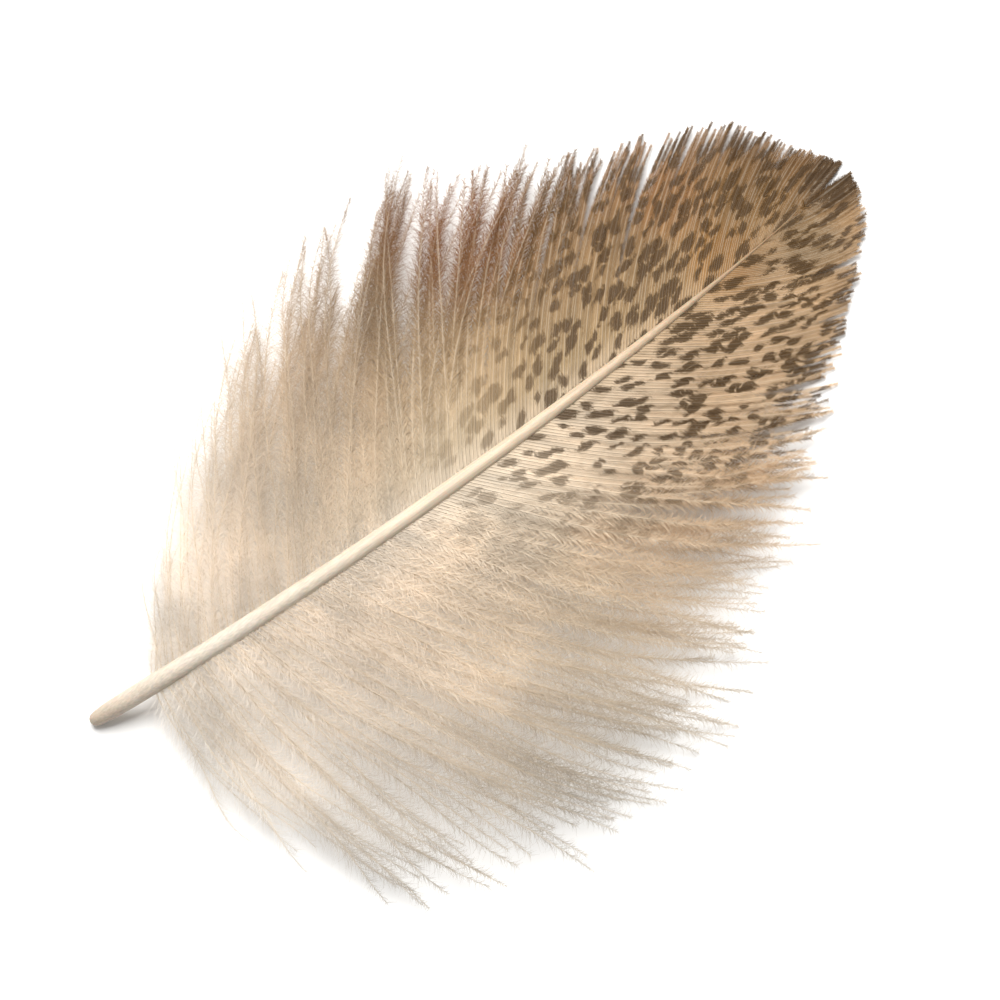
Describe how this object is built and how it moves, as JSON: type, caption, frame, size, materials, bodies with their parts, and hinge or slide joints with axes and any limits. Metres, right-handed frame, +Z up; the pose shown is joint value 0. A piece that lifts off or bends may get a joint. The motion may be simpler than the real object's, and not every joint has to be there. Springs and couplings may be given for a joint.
{
  "type": "partridge hackle feather",
  "caption": "Small arched body feather lying front side up: bare pale quill, loose beige down below, speckled brown closed vane above.",
  "frame": {"origin": "bottom centre of the bounding box, on the surface that the feather lies on", "axes": "+X from the quill to the tip, +Y towards the feather's left side, +Z up, out of its front"},
  "size_m": [0.055, 0.0384, 0.0066],
  "materials": {
    "vane": "matte keratin barbs, speckled",
    "down": "soft matte down",
    "shaft": "satin horn"
  },
  "bodies": {
    "root": {"feather": "vane"}
  },
  "joints": []
}
